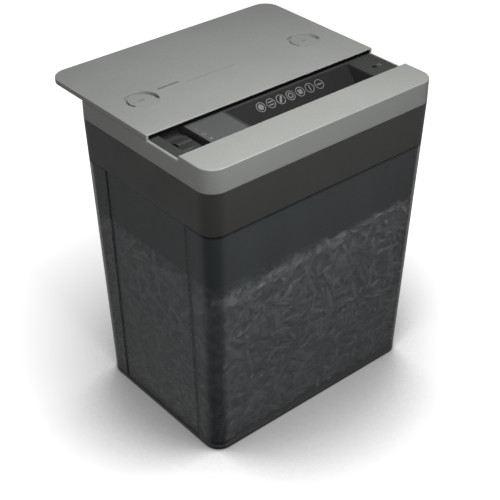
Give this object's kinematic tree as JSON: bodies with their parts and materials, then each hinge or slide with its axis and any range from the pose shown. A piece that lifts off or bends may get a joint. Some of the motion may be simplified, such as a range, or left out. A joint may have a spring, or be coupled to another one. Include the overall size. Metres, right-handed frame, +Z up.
{
  "type": "paper shredder",
  "caption": "Desktop cross-cut paper shredder: silver head with a sliding lid over an offset throat, on a smoked see-through bin of shreds.",
  "frame": {"origin": "middle of the whole object's box on the floor, with the lid slid back as at rest", "axes": "+X right as seen from the front, +Y to the rear, +Z up"},
  "size_m": [0.27, 0.238, 0.321],
  "materials": {
    "smoked_plastic": "gloss",
    "silver_plastic": "satin",
    "dark_plastic": "satin",
    "deck_plastic": "satin",
    "legend_plastic": "satin",
    "mark_ink": "matte",
    "black_plastic": "satin",
    "clear_plastic": "gloss",
    "steel": "satin",
    "plated_steel": "satin",
    "screw_steel": "satin",
    "bronze": "satin",
    "nylon": "satin",
    "board_green": "satin",
    "component_plastic": "satin",
    "wire_insulation": "satin",
    "rubber": "matte",
    "paper": "matte"
  },
  "bodies": {
    "bin": {"bin_tub": "smoked_plastic", "bin_base": "dark_plastic", "base_feet": "rubber", "base_screws": "screw_steel", "shredded_paper": "paper"},
    "head": {"head_housing": "dark_plastic", "head_cover": "silver_plastic", "cover_screws": "screw_steel", "cord_grommet": "rubber", "control_deck": "deck_plastic", "deck_screws": "screw_steel", "legend_plate": "legend_plastic", "throat_guide": "black_plastic", "guide_marks": "mark_ink", "slide_switch": "black_plastic", "light_pipe": "clear_plastic", "status_lamp": "clear_plastic", "front_comb": "black_plastic", "rear_comb": "black_plastic", "left_plate": "plated_steel", "right_plate": "plated_steel", "chassis_screws": "screw_steel", "tie_rods": "steel", "rod_nuts": "plated_steel", "cutter_bushes": "bronze", "gear_pins": "steel", "gear_plate": "plated_steel", "gear_standoffs": "steel", "motor_can": "plated_steel", "motor_screws": "screw_steel", "motor_cap": "black_plastic", "thermal_cutout": "component_plastic", "motor_leads": "wire_insulation", "control_board": "board_green", "board_components": "component_plastic", "terminal_block": "black_plastic", "bin_switch": "black_plastic", "interlock_spring": "steel", "feed_lever_pin": "steel", "feed_switch": "black_plastic"},
    "lid": {"lid_skin": "silver_plastic", "lid_carrier": "black_plastic", "lid_runners": "black_plastic", "runner_screws": "screw_steel"},
    "switch": {"switch_knob": "black_plastic"},
    "front_cutter": {"front_cutter_shaft": "steel", "front_cutter_discs": "steel", "front_gear": "steel", "front_ring": "steel"},
    "rear_cutter": {"rear_cutter_shaft": "steel", "rear_cutter_discs": "steel", "rear_gear": "steel", "rear_ring": "steel", "drive_gear": "steel"},
    "second_gear": {"second_gear": "nylon"},
    "first_gear": {"first_gear": "nylon"},
    "motor_rotor": {"motor_shaft": "steel", "motor_fan": "black_plastic"},
    "plunger": {"interlock_plunger": "black_plastic"},
    "lever": {"feed_lever": "black_plastic"}
  },
  "joints": [
    {"name": "head_lift", "type": "slide", "parent": "bin", "child": "head", "axis": [0, 0, 1], "range_m": [0, 0.08]},
    {"name": "lid_slide", "type": "slide", "parent": "head", "child": "lid", "axis": [0, -1, 0], "range_m": [0, 0.044]},
    {"name": "switch_slide", "type": "slide", "parent": "head", "child": "switch", "axis": [0, -1, 0], "range_m": [-0.008, 0.008]},
    {"name": "rear_cutter_turn", "type": "hinge", "parent": "head", "child": "rear_cutter", "pos_m": [0, -0.062, 0.236], "axis": [1, 0, 0], "continuous": true},
    {"name": "front_cutter_turn", "type": "hinge", "parent": "head", "child": "front_cutter", "pos_m": [0, -0.0895, 0.236], "axis": [1, 0, 0], "continuous": true},
    {"name": "second_gear_turn", "type": "hinge", "parent": "head", "child": "second_gear", "pos_m": [0, -0.02937, 0.25121], "axis": [1, 0, 0], "continuous": true},
    {"name": "first_gear_turn", "type": "hinge", "parent": "head", "child": "first_gear", "pos_m": [0, -0.00581, 0.24023], "axis": [1, 0, 0], "continuous": true},
    {"name": "motor_turn", "type": "hinge", "parent": "head", "child": "motor_rotor", "pos_m": [0, 0.01819, 0.24023], "axis": [1, 0, 0], "continuous": true},
    {"name": "plunger_slide", "type": "slide", "parent": "head", "child": "plunger", "axis": [0, 0, -1], "range_m": [0, 0.004], "deforming": ["interlock_spring"]},
    {"name": "lever_turn", "type": "hinge", "parent": "head", "child": "lever", "pos_m": [0.0248, -0.061, 0.28], "axis": [1, 0, 0], "range_deg": [0, 27], "stiffness_Nm_per_rad": 0.004, "springref_deg": -11.46}
  ],
  "couplings": [
    {"joint": "front_cutter_turn", "follows": "rear_cutter_turn", "ratio": -1},
    {"joint": "second_gear_turn", "follows": "rear_cutter_turn", "ratio": -3},
    {"joint": "first_gear_turn", "follows": "rear_cutter_turn", "ratio": 10},
    {"joint": "motor_turn", "follows": "rear_cutter_turn", "ratio": -50},
    {"joint": "plunger_slide", "follows": "head_lift", "ratio": 0.05}
  ]
}
